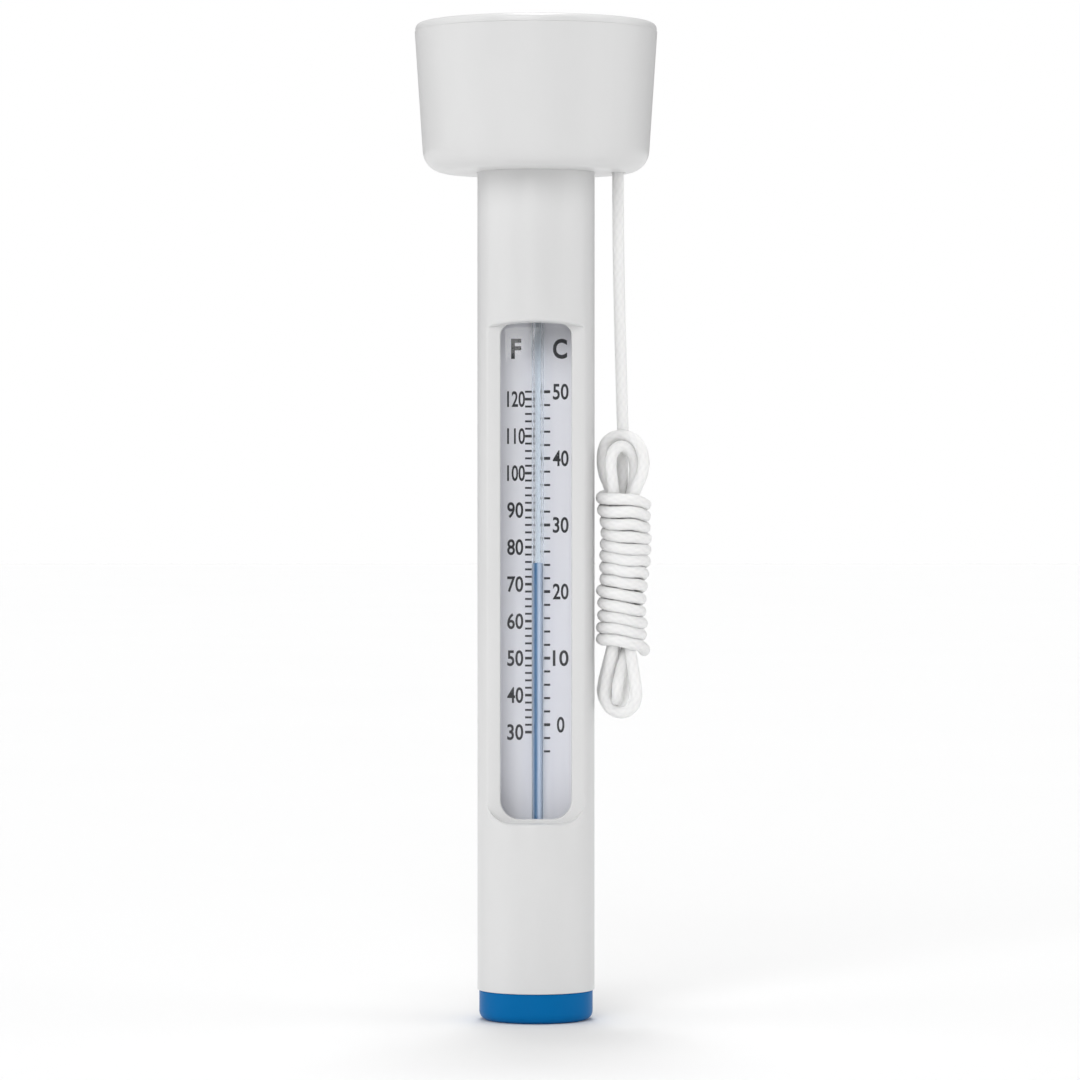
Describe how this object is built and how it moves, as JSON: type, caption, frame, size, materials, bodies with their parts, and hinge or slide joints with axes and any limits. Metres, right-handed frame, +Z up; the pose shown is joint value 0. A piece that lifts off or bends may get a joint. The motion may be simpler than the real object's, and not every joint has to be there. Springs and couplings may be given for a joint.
{
  "type": "floating pool thermometer",
  "caption": "Stick thermometer for pools: white tube with a flat window over a spirit thermometer and dual scale, flared float on top, blue foot cap, tether cord in a wrapped hank.",
  "frame": {"origin": "centre of the base, on the surface that the bottom cap stands on", "axes": "+Z up along the tube from cap to float, -Y out of the window towards the reader, +X to the side that the tether cord hangs on"},
  "size_m": [0.0414, 0.0414, 0.17],
  "materials": {
    "white_plastic": "satin",
    "blue_plastic": "satin",
    "clear_acrylic": "gloss",
    "stem_glass": "polished",
    "blue_spirit": "gloss",
    "printed_card": "satin",
    "grey_rubber": "matte",
    "ballast_steel": "satin",
    "clip_nylon": "satin",
    "white_foam": "matte",
    "white_cord": "matte"
  },
  "bodies": {
    "housing": {"main_tube": "white_plastic", "bottom_cap": "blue_plastic", "ballast_ring": "ballast_steel", "lower_bung": "grey_rubber", "scale_card": "printed_card", "glass_stem": "stem_glass", "bulb_spirit": "blue_spirit", "stem_clip_lower": "clip_nylon", "stem_clip_upper": "clip_nylon", "upper_bung": "grey_rubber", "window_lens": "clear_acrylic", "tube_plug": "white_plastic", "float_cup": "white_plastic", "float_lid": "white_plastic", "float_foam": "white_foam", "cord_knot": "white_cord"},
    "spirit": {"spirit_column": "blue_spirit"},
    "tether": {"cord_lead": "white_cord", "cord_hank": "white_cord"}
  },
  "joints": [
    {"name": "spirit_rise", "type": "slide", "parent": "housing", "child": "spirit", "axis": [0, 0, 1], "range_m": [-0.0323, 0.0293], "deforming": ["spirit_column"]},
    {"name": "cord_swing", "type": "hinge", "parent": "housing", "child": "tether", "pos_m": [0.014, 0, 0.1436], "axis": [0, -1, 0], "range_deg": [0, 70]}
  ]
}
